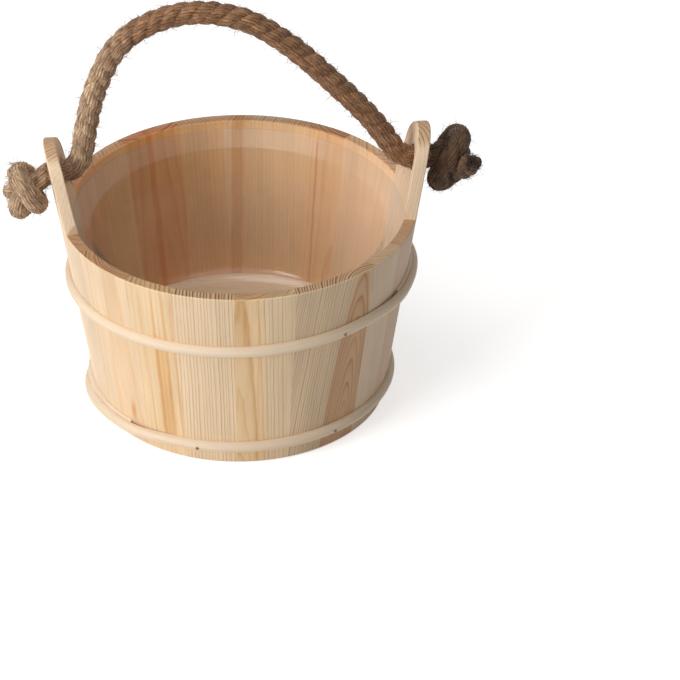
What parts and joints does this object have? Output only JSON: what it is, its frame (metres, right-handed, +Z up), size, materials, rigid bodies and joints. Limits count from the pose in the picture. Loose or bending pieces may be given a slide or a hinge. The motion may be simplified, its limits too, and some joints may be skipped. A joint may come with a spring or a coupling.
{
  "type": "stave pail",
  "caption": "Tapered wooden stave pail with raised ears, split-wood hoops, a rope bail knotted through the ears and a loose plastic liner.",
  "frame": {"origin": "centre of the ring that the staves' feet stand on", "axes": "+Z up, X through the middle of both rope holes, Y across the pail"},
  "size_m": [0.3415, 0.2498, 0.3073],
  "materials": {
    "stave_pine": "planed bare pine, satin",
    "board_pine": "planed bare pine, satin",
    "hoop_wood": "smooth split wood, satin",
    "nail_steel": "dull",
    "liner_plastic": "translucent, glossy",
    "jute_rope": "laid natural jute, hairy"
  },
  "bodies": {
    "pail": {"ear_stave_right": "stave_pine", "ear_stave_left": "stave_pine", "stave_back_1": "stave_pine", "stave_back_2": "stave_pine", "stave_back_3": "stave_pine", "stave_back_4": "stave_pine", "stave_back_5": "stave_pine", "stave_back_6": "stave_pine", "stave_back_7": "stave_pine", "stave_back_8": "stave_pine", "stave_front_1": "stave_pine", "stave_front_2": "stave_pine", "stave_front_3": "stave_pine", "stave_front_4": "stave_pine", "stave_front_5": "stave_pine", "stave_front_6": "stave_pine", "stave_front_7": "stave_pine", "stave_front_8": "stave_pine", "bottom_board_front": "board_pine", "bottom_board_middle": "board_pine", "bottom_board_back": "board_pine", "upper_hoop": "hoop_wood", "lower_hoop": "hoop_wood", "upper_hoop_nails": "nail_steel", "lower_hoop_nails": "nail_steel"},
    "liner_cup": {"liner": "liner_plastic"},
    "bail": {"rope_handle": "jute_rope", "rope_knot_left": "jute_rope", "rope_knot_right": "jute_rope"}
  },
  "joints": [
    {"name": "bail_swing", "type": "hinge", "parent": "pail", "child": "bail", "pos_m": [0, 0, 0.1785], "axis": [1, 0, 0], "range_deg": [-98, 98]},
    {"name": "liner_lift", "type": "slide", "parent": "pail", "child": "liner_cup", "axis": [0, 0, 1], "range_m": [0, 0.012]}
  ]
}
